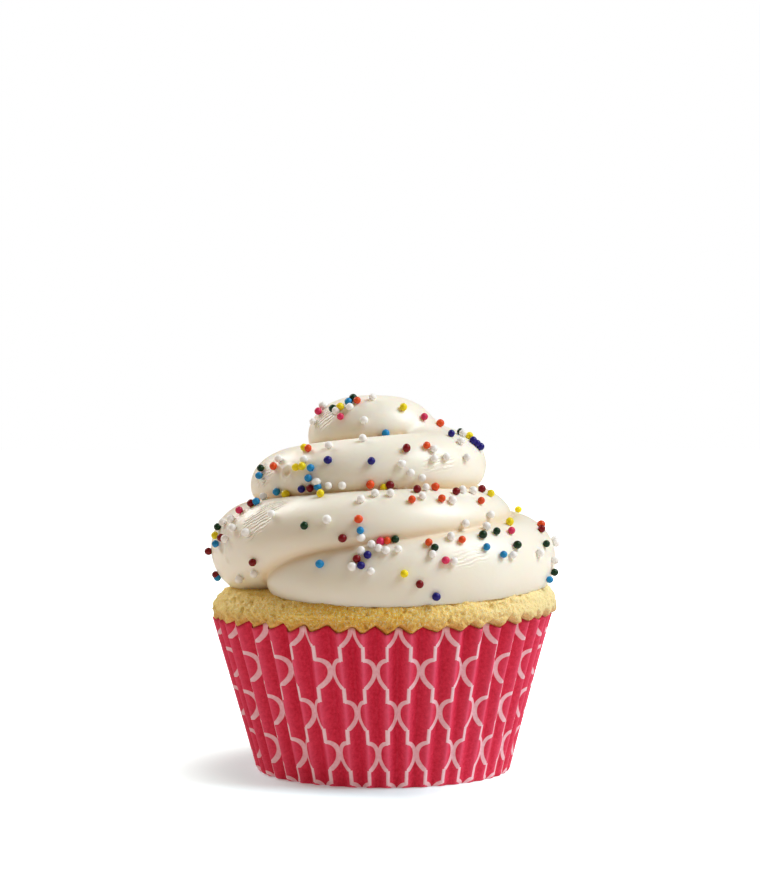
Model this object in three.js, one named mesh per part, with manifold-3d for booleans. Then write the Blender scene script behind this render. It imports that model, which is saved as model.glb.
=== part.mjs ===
// A cupcake in its pleated paper case, with a tall piped swirl of frosting.
//
// Three separate pieces, each one closed solid:
//   paper_case  a thin cup of pleated paper with a flat round base
//   sponge      the cake, pleated like the case below the rim, domed above it
//   frosting    one thick rope of frosting piped round and up to a soft tip
//
// Millimetres, +Z up. The origin is the middle of the flat base of the paper
// case, on the surface that the cupcake stands on. The front is at -Y.
// Angles round the cake are measured from the front (-Y) towards the right
// (+X), so that they grow anticlockwise as seen from above.

import * as THREE from 'three';
import { ParametricGeometry } from 'three/addons/geometries/ParametricGeometry.js';
import { mergeVertices } from 'three/addons/utils/BufferGeometryUtils.js';
import Module from 'manifold-3d';

// ---------------------------------------------------------------- sizes ----

// Paper case
const CASE_BASE_RADIUS = 25.2;     // flat round base, mean over the pleats
const CASE_FOOT_RADIUS = 26.0;     // where the rounded foot meets the wall
const CASE_FOOT_HEIGHT = 1.3;
const CASE_RIM_RADIUS = 33.95;     // mean radius of the rim
const CASE_RIM_HEIGHT = 31.0;      // rim height on an outward fold
const CASE_RIM_RISE = 1.25;        // how much higher the rim is on an inward fold
const CASE_PAPER = 0.34;           // wall, measured along the radius
const PLEATS = 46;                 // outward folds round the case
const PLEAT_START = 1.16;          // degrees from the front to the first fold
const PLEAT_DEPTH_BASE = 0.25;     // half depth of a pleat at the base
const PLEAT_DEPTH_FOOT = 0.65;
const PLEAT_DEPTH_RIM = 1.0;
const PLEAT_FLAT = 0.14;           // share of a pleat, each side, that is its crest

// Sponge
const GAP = 0.36;                  // between neighbouring pieces
const CROWN_RADIUS = 35.2;         // the crumb bulges a little past the rim
const CROWN_LIP_HEIGHT = 33.0;     // the bulge starts here, just above the rim
const CROWN_SIDE_HEIGHT = 34.8;    // and is upright up to here
const CROWN_SHOULDER = [[34.7, 36.2], [33.4, 37.5], [31.2, 38.3]];
const CROWN_TOP_HEIGHT = 39.9;
const CROWN_LEAN = [1.0, 0.5];      // the crown is this much higher at the right, and at the back

// Frosting: one rope, given once for each quarter turn from its start.
// angle, radius and height of the rope's middle, half its width, half its height
const ROPE = [
  { angle: -58, radius: 25.4, height: 41.1, halfWidth: 7.8, halfHeight: 7.0 },
  { angle: 0, radius: 25.6, height: 41.1, halfWidth: 10.0, halfHeight: 10.1 },
  { angle: 90, radius: 25.5, height: 43.6, halfWidth: 9.8, halfHeight: 9.2 },
  { angle: 180, radius: 25.6, height: 44.4, halfWidth: 10.0, halfHeight: 9.6 },
  { angle: 270, radius: 25.8, height: 45.4, halfWidth: 10.0, halfHeight: 9.9 },
  { angle: 360, radius: 22.0, height: 50.9, halfWidth: 10.4, halfHeight: 7.6 },
  { angle: 450, radius: 16.5, height: 50.3, halfWidth: 10.2, halfHeight: 8.3 },
  { angle: 540, radius: 17.0, height: 53.7, halfWidth: 10.0, halfHeight: 8.0 },
  { angle: 630, radius: 17.9, height: 58.4, halfWidth: 9.7, halfHeight: 7.5 },
  { angle: 720, radius: 14.5, height: 61.4, halfWidth: 9.3, halfHeight: 7.4 },
  { angle: 810, radius: 12.4, height: 62.9, halfWidth: 8.5, halfHeight: 7.1 },
  { angle: 900, radius: 9.5, height: 66.0, halfWidth: 8.8, halfHeight: 7.3 },
  { angle: 990, radius: 6.3, height: 68.9, halfWidth: 9.2, halfHeight: 7.6 },
  { angle: 1080, radius: 3.6, height: 69.4, halfWidth: 8.4, halfHeight: 7.5 },
  { angle: 1170, radius: 2.6, height: 68.7, halfWidth: 8.2, halfHeight: 7.2 },
  { angle: 1260, radius: 2.0, height: 67.5, halfWidth: 7.6, halfHeight: 6.8 },
];
const ROPE_START = -58;            // the rounded beginning of the rope
const ROPE_NOSE = 34;              // degrees over which it swells to full size
const ROPE_END = 1260;
const ROPE_TAIL = 40;              // degrees over which its end closes
const ROPE_SIDES = 18;             // facets round the rope
const ROPE_STEP = 11;              // degrees between sections
const ROPE_PIECE = 330;            // one swept length stays under a full turn
const ROPE_LAP = 8;                // and runs this far into the next
const FACET_TOLERANCE = 0.03;      // slivers finer than this are joined up
const ROPE_INSIDE = 0.5;           // the rope's inner side stays this far from the axis
const CORE_PROFILE = [             // and a core fills the middle
  [0, 37], [24, 37], [22, 46], [15, 55], [10, 64], [4, 70], [1.7, 75.6], [0, 76.4]];

// --------------------------------------------------------------- helpers ---

const RAD = Math.PI / 180;

const onRadius = (radius, degrees, height) =>
  [radius * Math.sin(degrees * RAD), -radius * Math.cos(degrees * RAD), height];

// A lathed solid whose rings may be pleated. Each row of the profile gives
// radius, height, half pleat depth and how far the inward folds are raised.
const CORNERS = [-PLEAT_FLAT, PLEAT_FLAT, 0.5 - PLEAT_FLAT, 0.5 + PLEAT_FLAT];

function pleatedLathe(rows) {
  const count = PLEATS * CORNERS.length;
  const points = rows.map(([r, z]) => new THREE.Vector2(r, z));
  const geometry = new THREE.LatheGeometry(points, count);
  const position = geometry.attributes.position;
  for (let i = 0; i <= count; i++) {
    const k = i % count;
    const corner = k % CORNERS.length;
    const turn = (Math.floor(k / CORNERS.length) + CORNERS[corner]) / PLEATS;
    const outward = corner < 2 ? 1 : -1;
    for (let j = 0; j < rows.length; j++) {
      const [r, z, depth = 0, rise = 0] = rows[j];
      const at = onRadius(r + outward * depth, PLEAT_START + 360 * turn,
        z + (outward < 0 ? rise : 0));
      position.setXYZ(i * rows.length + j, ...at);
    }
  }
  return geometry;
}

// Indexed, with shared vertices and no collapsed faces.
function welded(geometry) {
  const bare = geometry.clone();
  for (const name of Object.keys(bare.attributes)) {
    if (name !== 'position') bare.deleteAttribute(name);
  }
  const merged = mergeVertices(bare, 1e-4);
  const kept = [];
  const index = merged.index.array;
  for (let i = 0; i < index.length; i += 3) {
    const [a, b, c] = [index[i], index[i + 1], index[i + 2]];
    if (a !== b && b !== c && a !== c) kept.push(a, b, c);
  }
  merged.setIndex(kept);
  return merged;
}

function facingOut(geometry) {
  const p = geometry.attributes.position;
  const index = geometry.index.array;
  const at = [new THREE.Vector3(), new THREE.Vector3(), new THREE.Vector3()];
  let volume = 0;
  for (let i = 0; i < index.length; i += 3) {
    at.forEach((v, k) => v.fromBufferAttribute(p, index[i + k]));
    volume += at[0].dot(at[1].clone().cross(at[2])) / 6;
  }
  if (volume > 0) return geometry;
  const turned = [];
  for (let i = 0; i < index.length; i += 3) turned.push(index[i], index[i + 2], index[i + 1]);
  geometry.setIndex(turned);
  return geometry;
}

const wasm = await Module();
wasm.setup();

function toSolid(geometry) {
  const closed = facingOut(welded(geometry));
  return new wasm.Manifold(new wasm.Mesh({
    numProp: 3,
    vertProperties: new Float32Array(closed.attributes.position.array),
    triVerts: new Uint32Array(closed.index.array),
  }));
}

function toGeometry(solid) {
  const mesh = solid.getMesh();
  const geometry = new THREE.BufferGeometry();
  geometry.setAttribute('position', new THREE.BufferAttribute(
    new Float32Array(mesh.vertProperties), mesh.numProp));
  geometry.setIndex(Array.from(mesh.triVerts));
  return geometry;
}

// The crown of the cake leans: its top is higher at the right and at the back.
function lean(geometry, from, to) {
  const p = geometry.attributes.position;
  for (let i = 0; i < p.count; i++) {
    const share = THREE.MathUtils.smoothstep(p.getZ(i), from, to);
    const lift = (CROWN_LEAN[0] * p.getX(i) + CROWN_LEAN[1] * p.getY(i)) / CROWN_RADIUS;
    p.setZ(i, p.getZ(i) + share * lift);
  }
  return geometry;
}

function lathe(profile, segments) {
  const geometry = new THREE.LatheGeometry(
    profile.map(([r, z]) => new THREE.Vector2(r, z)), segments);
  geometry.rotateX(Math.PI / 2);
  return geometry;
}

// ----------------------------------------------------------- paper case ----

const inner = (r) => r - CASE_PAPER;

const caseGeometry = pleatedLathe([
  [0, 0],
  [CASE_BASE_RADIUS, 0, PLEAT_DEPTH_BASE],
  [CASE_FOOT_RADIUS, CASE_FOOT_HEIGHT, PLEAT_DEPTH_FOOT],
  [CASE_RIM_RADIUS, CASE_RIM_HEIGHT, PLEAT_DEPTH_RIM, CASE_RIM_RISE],
  [inner(CASE_RIM_RADIUS), CASE_RIM_HEIGHT, PLEAT_DEPTH_RIM, CASE_RIM_RISE],
  [inner(CASE_FOOT_RADIUS), CASE_FOOT_HEIGHT, PLEAT_DEPTH_FOOT],
  [inner(CASE_BASE_RADIUS), CASE_PAPER, PLEAT_DEPTH_BASE],
  [0, CASE_PAPER],
]);

// --------------------------------------------------------------- sponge ----

// Inside the case the cake keeps the pleats of the paper it was baked in.
const caseRadiusAt = (z) => THREE.MathUtils.mapLinear(
  z, CASE_FOOT_HEIGHT, CASE_RIM_HEIGHT, CASE_FOOT_RADIUS, CASE_RIM_RADIUS);
const pleatDepthAt = (z) => THREE.MathUtils.mapLinear(
  z, CASE_FOOT_HEIGHT, CASE_RIM_HEIGHT, PLEAT_DEPTH_FOOT, PLEAT_DEPTH_RIM);
const within = (r) => r - CASE_PAPER - GAP;
const SPONGE_WALL_TOP = CASE_RIM_HEIGHT - 0.6;
const SPONGE_NECK = CASE_RIM_HEIGHT + CASE_RIM_RISE + 0.3;

const spongeGeometry = lean(pleatedLathe([
  [0, CASE_PAPER + GAP],
  [within(CASE_BASE_RADIUS) - 0.1, CASE_PAPER + GAP, PLEAT_DEPTH_BASE],
  [within(CASE_FOOT_RADIUS), CASE_FOOT_HEIGHT + 0.2, PLEAT_DEPTH_FOOT],
  [within(caseRadiusAt(SPONGE_WALL_TOP)), SPONGE_WALL_TOP, pleatDepthAt(SPONGE_WALL_TOP)],
  [within(CASE_RIM_RADIUS) + 0.05, SPONGE_NECK, PLEAT_DEPTH_RIM * 0.8],
  [CROWN_RADIUS - 0.2, CROWN_LIP_HEIGHT, 0.12],
  [CROWN_RADIUS, CROWN_SIDE_HEIGHT],
  ...CROWN_SHOULDER,
  [0, CROWN_TOP_HEIGHT],
]), CROWN_LIP_HEIGHT, CROWN_SHOULDER[0][1]);

// ------------------------------------------------------------- frosting ----

// The rope's section at any angle, smooth between the quarter turns.
const middle = new THREE.CatmullRomCurve3(
  ROPE.map((s) => new THREE.Vector3(s.radius, s.height, 0)), false, 'catmullrom', 0.5);
const halves = new THREE.CatmullRomCurve3(
  ROPE.map((s) => new THREE.Vector3(s.halfWidth, s.halfHeight, 0)), false, 'catmullrom', 0.5);

function ropeAt(angle) {
  let k = 0;
  while (k < ROPE.length - 2 && angle > ROPE[k + 1].angle) k++;
  const share = (angle - ROPE[k].angle) / (ROPE[k + 1].angle - ROPE[k].angle);
  const t = THREE.MathUtils.clamp((k + share) / (ROPE.length - 1), 0, 1);
  const m = middle.getPoint(t);
  const h = halves.getPoint(t);
  return { radius: m.x, height: m.y, halfWidth: h.x, halfHeight: h.y };
}

// The rope swells from a rounded nose and closes in a rounded tail.
function swell(angle) {
  const nose = THREE.MathUtils.clamp((angle - ROPE_START) / ROPE_NOSE, 0, 1);
  const tail = THREE.MathUtils.clamp((ROPE_END - angle) / ROPE_TAIL, 0, 1);
  return Math.sqrt(1 - (1 - nose) ** 2) * (0.35 + 0.65 * Math.sqrt(1 - (1 - tail) ** 2));
}

function ropePiece(from, to) {
  const sections = Math.round((to - from) / ROPE_STEP);
  const stacks = sections + 2;
  // v runs along the rope. Its first and last rings are closed to a point.
  const sweep = (u, v, target) => {
    const row = Math.round(v * stacks);
    const share = THREE.MathUtils.clamp((row - 1) / sections, 0, 1);
    const angle = from + (to - from) * share;
    const s = ropeAt(angle);
    const size = row === 0 || row === stacks ? 0 : Math.max(swell(angle), 0.02);
    const around = 2 * Math.PI * (u % 1);
    // the nose of the rope lies low on the cake
    const sink = (1 - swell(Math.min(angle, 400))) * s.halfHeight * 0.15;
    target.set(...onRadius(
      Math.max(s.radius + s.halfWidth * size * Math.cos(around), ROPE_INSIDE),
      angle,
      s.height - sink + s.halfHeight * size * Math.sin(around)));
  };
  return new ParametricGeometry(sweep, ROPE_SIDES, stacks);
}

let swirl = toSolid(lathe(CORE_PROFILE, 40));
for (let from = ROPE_START; from < ROPE_END; from += ROPE_PIECE) {
  const to = Math.min(from + ROPE_PIECE + ROPE_LAP, ROPE_END);
  swirl = swirl.add(toSolid(ropePiece(from, to)));
}

// Its underside follows the crown of the cake with an even gap.
const crownClear = [
  [0, 20],
  [CROWN_RADIUS + 6, 20],
  [CROWN_RADIUS + 6, CROWN_SIDE_HEIGHT - 1.2],
  [CROWN_RADIUS + GAP, CROWN_SIDE_HEIGHT - 0.2],
  ...CROWN_SHOULDER.map(([r, z]) => [r + GAP * 0.7, z + GAP]),
  [0, CROWN_TOP_HEIGHT + GAP],
];
swirl = swirl.subtract(toSolid(lean(
  lathe(crownClear, 72), CROWN_LIP_HEIGHT, CROWN_SHOULDER[0][1])));
const bodies = swirl.decompose().sort((a, b) => b.volume() - a.volume());
const frostingGeometry = toGeometry(bodies[0].simplify(FACET_TOLERANCE));

// ------------------------------------------------------------- assembly ----

const group = new THREE.Group();

function addPiece(name, geometry, colour, roughness) {
  const mesh = new THREE.Mesh(facingOut(welded(geometry)), new THREE.MeshStandardMaterial({
    color: new THREE.Color(colour), roughness, metalness: 0,
  }));
  mesh.name = name;
  group.add(mesh);
}

addPiece('paper_case', caseGeometry, '#c02a48', 0.6);
addPiece('sponge', spongeGeometry, '#dda94c', 0.85);
addPiece('frosting', frostingGeometry, '#f3ecdf', 0.3);

export default group;
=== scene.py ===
import math

import bmesh
import bpy
import numpy as np
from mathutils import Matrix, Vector, noise


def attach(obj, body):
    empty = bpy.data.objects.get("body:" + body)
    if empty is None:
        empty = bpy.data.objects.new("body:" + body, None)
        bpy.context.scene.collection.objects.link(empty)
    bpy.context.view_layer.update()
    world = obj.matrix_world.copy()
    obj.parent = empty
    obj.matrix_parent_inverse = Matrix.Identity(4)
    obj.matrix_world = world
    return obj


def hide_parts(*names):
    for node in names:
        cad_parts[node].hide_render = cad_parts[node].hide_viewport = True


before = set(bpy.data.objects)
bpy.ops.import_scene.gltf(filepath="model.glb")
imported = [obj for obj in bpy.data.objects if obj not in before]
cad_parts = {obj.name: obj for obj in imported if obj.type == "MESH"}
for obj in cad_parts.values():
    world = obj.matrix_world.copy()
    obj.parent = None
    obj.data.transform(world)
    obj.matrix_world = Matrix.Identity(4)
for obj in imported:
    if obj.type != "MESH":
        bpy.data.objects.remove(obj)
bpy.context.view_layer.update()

MM = 0.001
RNG = np.random.default_rng(20)

# ------------------------------------------------------------------ sizes ---
# The same named sizes as the construction, in millimetres. Angles are in
# degrees from the front (-Y) towards the right (+X).

CASE_BASE_RADIUS = 25.2
CASE_FOOT_RADIUS = 26.0
CASE_FOOT_HEIGHT = 1.3
CASE_RIM_RADIUS = 33.95
CASE_RIM_HEIGHT = 31.0
CASE_RIM_RISE = 1.25
CASE_TILT = (0.3, 1.3)         # how much higher the rim is at the left and at the right
CASE_LEAN = -0.45              # the rim sits this far to the side of the base
PLEATS = 46
PLEAT_START = 1.16
PLEAT_DEPTH_BASE = 0.25
PLEAT_DEPTH_FOOT = 0.65
PLEAT_DEPTH_RIM = 1.0
PLEAT_EASE = 0.7               # the share by which the pleats are shallower low on the right
PAPER = 0.12

CROWN = [(35.2, 34.6), (34.7, 36.2), (33.4, 37.5), (31.2, 38.3), (26.0, 39.1), (14.0, 39.7), (0.0, 39.9)]

CROWN_LEAN = (1.0, 0.5)   # how much higher the crown is at the right and at the back

# angle, radius and height of the rope's middle, half width, half height
ROPE = np.array([
    (-58, 25.4, 41.1, 7.8, 7.0),
    (0, 25.6, 41.1, 10.0, 10.1),
    (90, 25.5, 43.6, 9.8, 9.2),
    (180, 25.6, 44.4, 10.0, 9.6),
    (270, 25.8, 45.4, 10.0, 9.9),
    (360, 22.0, 50.9, 10.4, 7.6),
    (450, 16.5, 50.3, 10.2, 8.3),
    (540, 17.0, 53.7, 10.0, 8.0),
    (630, 17.9, 58.4, 9.7, 7.5),
    (720, 14.5, 61.4, 9.3, 7.4),
    (810, 12.4, 62.9, 8.5, 7.1),
    (900, 9.5, 66.0, 8.8, 7.3),
    (990, 6.3, 68.9, 9.2, 7.6),
    (1080, 3.6, 69.4, 8.4, 7.5),
    (1170, 2.6, 68.7, 8.2, 7.2),
    (1260, 2.0, 67.5, 7.6, 6.8),
], float)
ROPE_START, ROPE_NOSE = -58.0, 34.0
ROPE_END, ROPE_TAIL = 1260.0, 40.0
CREASE_DEPTH, CREASE_WIDTH = 0.42, 0.75
# little burst bubbles in the frosting: angle, radius and height, size, depth
PITS = [(-48.4, 25.8, 61.6, 0.85, 0.70), (-67.6, 35.2, 46.9, 1.25, 0.26), (-64.5, 34.7, 43.9, 0.7, 0.16),
        (-60.0, 32.1, 53.6, 0.6, 0.20), (150.0, 34.8, 46.0, 0.8, 0.35), (205.0, 26.9, 56.5, 0.9, 0.30)]
CAP_SOFT = (18.0, 48.0), (150.0, 120.0)
TOP_FROM = 930.0     # above this angle the rope is one rounded cap
CORE = [(24.0, 30.0), (24.0, 37.0), (22.0, 46.0), (15.0, 55.0), (10.0, 64.0), (4.0, 70.0), (0.5, 74.0), (-5.0, 78.0)]


# Paper: how far each outward fold lies from its even place, by pleats from the front, in degrees
FOLD_SHIFT = [(-23, 0), (-12, 0), (-8, -2.7), (-6, -1.25), (-3, -0.9), (-2, 0.35), (1, 0.25), (2, 0.8), (3, 1.0), (8, 0.8), (14, 0), (23, 0)]
FOLD_SHARP = (0.97, 0.85)      # outward folds are sharper than inward ones
PRINT_SLIP = 0.11            # towards the sides the bars lie this far beyond their folds, in pleats
PRINT_FIRST, PRINT_ROW = -0.775, 8.595          # the first row of crossings, and the next, down the wall
PRINT_UP, PRINT_DOWN = 2.45, 3.6              # reach of the arms above and below a crossing
PRINT_ARM = 3.7                             # a row's pattern starts this far above its crossings
PRINT_PLEAT = (4.64, 3.55)                   # width of a pleat at the rim and at the foot
PRINT_WAIST = 0.075                          # half gap at a crossing in the first row, in pleats
PRINT_LINE, PRINT_BAR = 0.39, 0.33           # half widths of the arms and of the bars

CROWN_SIDE = 35.2
CRUMB_STEP = 0.2

SPRINKLE_RADIUS, SPRINKLE_SUNK = 0.79, 0.17
SPRINKLES_MORE = 180
SUGAR = {
    "white": (0.99, 0.985, 0.97), "yellow": (0.98, 0.80, 0.012), "orange": (0.84, 0.085, 0.014),
    "red": (0.22, 0.001, 0.006), "pink": (0.76, 0.035, 0.13), "blue": (0.010, 0.27, 0.62),
    "indigo": (0.012, 0.008, 0.20), "green": (0.001, 0.036, 0.010),
}

# Where the balls lie on the front: angle, radius and height, by colour
SPRINKLES = {
    "white": [(-16.6, 8.5, 76.6), (-35.7, 12, 74.6), (-48.6, 13.1, 73.8), (-79, 12.9, 74.9), (-74, 15.2, 71.6),
        (-18.2, 13.1, 71.9), (-13.1, 19.1, 68.3), (-30.5, 21.8, 67), (-57.1, 25.3, 64.2), (-39.9, 25, 64.2),
        (-31.3, 25.7, 59.8), (-60.5, 27.9, 56.5), (-25.7, 25.4, 59.1), (-19.4, 25, 59.2), (-8.8, 29.7, 56.5),
        (-3.8, 27.9, 57.6), (-41.9, 32.9, 53.5), (-19.5, 33, 52.7), (-7.9, 33.2, 49.5), (-51.3, 34.9, 49.8),
        (-60.1, 34.9, 50.5), (-64.6, 34, 52.1), (-70.5, 34.5, 51.3), (-63.5, 35.5, 48.2), (-51.9, 33, 41.3),
        (-62.6, 32.9, 39.9), (-7.6, 33.9, 46.8), (-4.3, 33.1, 47.9), (-2, 33.8, 47.3), (-10.1, 35.4, 44),
        (-4.2, 35.9, 43.2), (0.4, 34.2, 47), (4.3, 34.1, 47.2), (65.6, 17.5, 69.2), (26.4, 21.9, 66.3),
        (50.1, 20, 67.7), (25.3, 23, 64.4), (32.7, 22.7, 64.7), (47.5, 22.4, 64.5), (8.1, 23.9, 63.4),
        (12.3, 23.9, 61.6), (18.2, 23.6, 60.6), (2.4, 27.8, 57.7), (19.1, 24.8, 58.7), (38.5, 24.7, 58.1),
        (45.6, 24.6, 57.8), (15, 28.3, 57), (27.5, 28.5, 56.2), (40.2, 30.9, 50.9), (45.6, 29.1, 53.2),
        (30.6, 30.7, 51.9), (44.8, 35.6, 45.6), (60.2, 35.7, 45.6), (87.6, 35.3, 47.4), (85.6, 35.4, 46.6),
        (73.4, 36, 43.6), (23, 32.6, 49.3), (15.1, 35, 46.3), (21.8, 35.7, 44.9)],
    "yellow": [(-46.6, 12.3, 74.6), (-45.3, 22.6, 66.5), (-42.7, 25.9, 62.6), (-39.5, 25.7, 62.8),
        (-49.2, 26.3, 57.5), (-26.9, 27.7, 57.5), (-0.3, 24.1, 59), (-73.5, 35.7, 48.6), (21.9, 10.2, 74.5),
        (70.3, 18.4, 68.7), (59.8, 24.7, 57.1), (101.2, 28.7, 53.7), (55, 30.3, 51.5), (5.9, 36.1, 42.7)],
    "orange": [(-32.4, 10.3, 75.9), (-41.8, 22.8, 66.3), (-57.6, 26.4, 62.7), (-6.6, 24.4, 59.3), (-8.8, 32.6, 52.8),
        (0.8, 32.7, 48.9), (69.2, 11.7, 70.6), (23, 21.3, 66.9), (24.2, 24.3, 58.7), (10.3, 29.3, 56.4),
        (22.9, 28.4, 56.5), (43.7, 27.5, 55.9), (79.1, 32.5, 50.6), (26.5, 33.3, 48.7), (14.6, 33.4, 48.3)],
    "red": [(-34.7, 25.7, 58.6), (-60, 30.8, 55.3), (-14, 33.5, 49.3), (-66.6, 35.6, 48.4), (-83.5, 36.3, 45),
        (-87.4, 35.2, 39.8), (-49.3, 34.3, 43.9), (-8.8, 34.8, 45.4), (11.3, 22, 66.4), (2.5, 23.9, 59.3),
        (14.2, 25.9, 58.4), (33.2, 25.7, 57.8), (57.6, 23.2, 58.1), (73.2, 33.2, 49.9), (10.6, 36.2, 40.7)],
    "pink": [(-40.8, 13.6, 72.6), (-75.6, 14, 73.7), (-63.1, 32.5, 53.8), (-1.5, 32.8, 48.8), (46.3, 11.1, 72.5),
        (50.1, 32.5, 50), (19.1, 35.6, 45.1)],
    "blue": [(-41.6, 11, 75.6), (1.1, 13.2, 69.6), (-67.6, 27.4, 60.7), (-34.7, 25.6, 62.5), (-35.3, 26, 60.5),
        (-30.8, 25.6, 58.9), (-54.2, 26.6, 57.6), (-57.9, 30.2, 55.7), (-8.1, 33.1, 50.8), (-70.5, 35.9, 47),
        (-87.6, 34.5, 39.4), (-21, 34.7, 44.3), (34.7, 34.6, 47.3), (40.6, 35.5, 45.8), (69.9, 35.4, 39.8)],
    "indigo": [(-26.9, 24.7, 64.1), (-6.2, 24, 63.9), (-39.1, 25.9, 58.4), (-5.4, 34.5, 46.1), (-7.3, 35.4, 44.2),
        (50.4, 17.5, 69.2), (66.2, 19.7, 67.8), (68.1, 20.3, 67.2), (70, 20.8, 66.5), (16, 35.8, 38.2)],
    "green": [(-41, 9.7, 76.4), (-54, 12.9, 74.2), (-68.7, 26.9, 62.2), (-27.2, 33.7, 51.5), (-74.1, 35.1, 50.3),
        (66.8, 16.8, 69.5), (35.6, 32.7, 49.5), (42.6, 32.3, 50), (48.5, 34.7, 47.4), (67.7, 35.1, 47.1),
        (74.4, 35.7, 41.1), (16.2, 34.2, 47.4), (3.6, 32.5, 49.2)],
}


# ---------------------------------------------------------------- helpers ---

def smoothstep(a, b, x):
    t = np.clip((x - a) / (b - a), 0, 1)
    return t * t * (3 - 2 * t)


def rope_at(phi):
    """Radius, height, half width and half height of the rope at these angles, as in the construction's curve."""
    knots, rows = ROPE[:, 0], ROPE[:, 1:]
    n = len(knots)
    k = np.clip(np.searchsorted(knots, phi, side="right") - 1, 0, n - 2)
    t = np.clip((phi - knots[k]) / (knots[k + 1] - knots[k]), 0, 1)[..., None]
    p0, p1, p2, p3 = (rows[np.clip(k + i, 0, n - 1)] for i in (-1, 0, 1, 2))
    out = 0.5 * (2 * p1 + (p2 - p0) * t + (2 * p0 - 5 * p1 + 4 * p2 - p3) * t**2 + (3 * p1 - p0 - 3 * p2 + p3) * t**3)
    return out[..., 0], out[..., 1], out[..., 2], out[..., 3]


def swell(phi):
    nose = np.clip((phi - ROPE_START) / ROPE_NOSE, 0, 1)
    tail = np.clip((ROPE_END - phi) / ROPE_TAIL, 0, 1)
    return np.sqrt(np.clip(1 - (1 - nose) ** 2, 0, 1)) * (0.35 + 0.65 * np.sqrt(np.clip(1 - (1 - tail) ** 2, 0, 1)))


def smin(a, b, k):
    h = np.clip(k - np.abs(a - b), 0, None) / k
    return np.minimum(a, b) - h * h * k * 0.25


def crown_mean(r):
    pts = sorted(CROWN)
    return np.interp(r, [p[0] for p in pts], [p[1] for p in pts])


def crown_height(x, y):
    """The top of the cake above a point, as it leans."""
    return crown_mean(np.hypot(x, y)) + CROWN_LEAN[0] * x / 35 + CROWN_LEAN[1] * y / 35


def ellipse_gap(u, v, a, b):
    """About how far a point (u, v) from the middle of an ellipse lies outside it."""
    f = np.sqrt((u / a) ** 2 + (v / b) ** 2) + 1e-6
    g = np.sqrt((u / (a * a)) ** 2 + (v / (b * b)) ** 2) / f + 1e-6
    return (f - 1) / g


def caps():
    """The balls of the rounded cap, along the last turn of the rope."""
    phi = np.arange(TOP_FROM, ROPE_END - 12, 6.0)
    r, z, a, b = rope_at(phi)
    s = swell(phi)
    q = np.radians(phi)
    return np.stack([r * np.sin(q), -r * np.cos(q), z, a * s, b * s], 1)


CAPS = caps()


def frosting_field(x, y, z, creases=False):
    """Below zero inside the frosting, about millimetres. Where two turns of the rope touch there is a
    narrow crease; with `creases` the answer is how deep in one a point lies, from 0 to 1, and the same
    in bubble pits: the amount of painted shade for the frosting's colour."""
    r = np.hypot(x, y)
    theta = np.degrees(np.arctan2(x, -y)) % 360.0
    d = np.full(r.shape, 50.0)
    near_miss = np.full(r.shape, 50.0)      # the gap to the next turn but the nearest
    lower = np.full(r.shape, 50.0)          # the gap to the turns that don't run on into the cap
    for turn in range(-1, 3):
        phi = theta + 360.0 * turn
        ok = (phi > ROPE_START + 0.3) & (phi < TOP_FROM + 30)
        if not ok.any():
            continue
        p = phi[ok]
        rc, zc, a, b = rope_at(p)
        s = np.maximum(swell(p), 0.04)
        sink = (1 - swell(np.minimum(p, 400.0))) * b * 0.15
        gap = ellipse_gap(r[ok] - rc, z[ok] - zc + sink, a * s, b * s)
        near_miss[ok] = np.minimum(near_miss[ok], np.maximum(d[ok], gap))
        d[ok] = smin(d[ok], gap, 0.5)
        lower[ok] = np.minimum(lower[ok], gap + 12 * smoothstep(TOP_FROM - 70, TOP_FROM - 30, p))
    near = (r < 22) & (z > 58)
    if near.any():
        xn, yn, zn = x[near], y[near], z[near]
        cap = np.full(xn.shape, 50.0)
        for cx, cy, cz, a, b in CAPS:
            cap = np.minimum(cap, ellipse_gap(np.hypot(xn - cx, yn - cy), zn - cz, a, b))
        # on one side the cap runs into the turn below without a crease
        t = theta[near]
        soft = smoothstep(*CAP_SOFT[0], t) * smoothstep(*CAP_SOFT[1], t)
        near_miss[near] = np.minimum(near_miss[near], np.maximum(lower[near], cap) + 12 * soft)
        d[near] = smin(d[near], cap, 0.8 + 3.6 * soft)
    apart = np.maximum(near_miss - d, 0)
    # painted shade: how near a point lies to the bottom of a crease between two turns
    painted_shade = np.exp(-((apart / 1.5) ** 2))
    d = d + CREASE_DEPTH * np.exp(-((apart / CREASE_WIDTH) ** 2))
    for angle, radius, height, size, depth in PITS:
        q = math.radians(angle)
        gone = np.sqrt((x - radius * math.sin(q)) ** 2 + (y + radius * math.cos(q)) ** 2 + (z - height) ** 2)
        d = d + depth * (np.exp(-((gone / size) ** 2)) - 0.6 * np.exp(-(((gone - size * 1.5) / (size * 0.45)) ** 2)))
        # the bubble pits get painted shade as well
        painted_shade = np.maximum(painted_shade, depth * np.exp(-((gone / size) ** 2)))
    if creases:
        return painted_shade
    core = (r - np.interp(z, [p[1] for p in CORE], [p[0] for p in CORE])) * 0.8
    d = np.minimum(d, core)
    # the underside lies on the crown of the cake
    out = 35.2 / np.maximum(r, 35.2)
    return np.maximum(d, crown_height(x * out, y * out) - 0.25 - z)


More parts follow.
